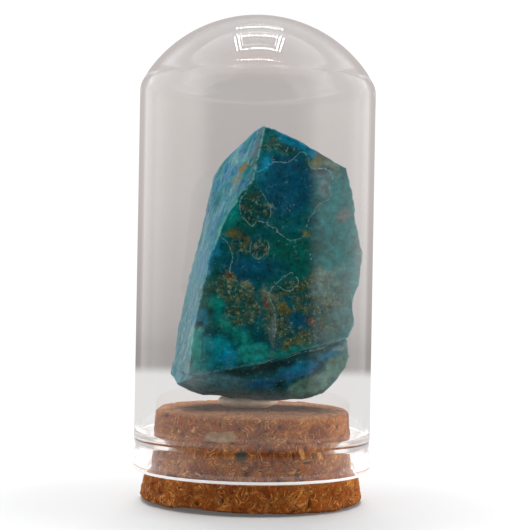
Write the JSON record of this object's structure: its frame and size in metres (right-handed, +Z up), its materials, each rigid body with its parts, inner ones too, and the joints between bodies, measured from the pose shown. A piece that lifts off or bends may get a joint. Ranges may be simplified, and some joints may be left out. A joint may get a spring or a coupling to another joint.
{
  "type": "rough opal in a glass dome",
  "caption": "Rough blue-green opal fixed with putty on a stepped cork base, under a clear glass dome that lifts off.",
  "frame": {"origin": "centre of the cork base's underside, on the axis of the dome", "axes": "+Z up along the dome's axis, -Y towards the stone's broad front face"},
  "size_m": [0.0342, 0.0342, 0.0699],
  "materials": {
    "glass": "polished",
    "cork": "matte",
    "putty": "matte",
    "opal": "satin"
  },
  "bodies": {
    "root": {"glass_dome": "glass", "cork_base": "cork", "putty": "putty", "opal": "opal"}
  },
  "joints": []
}
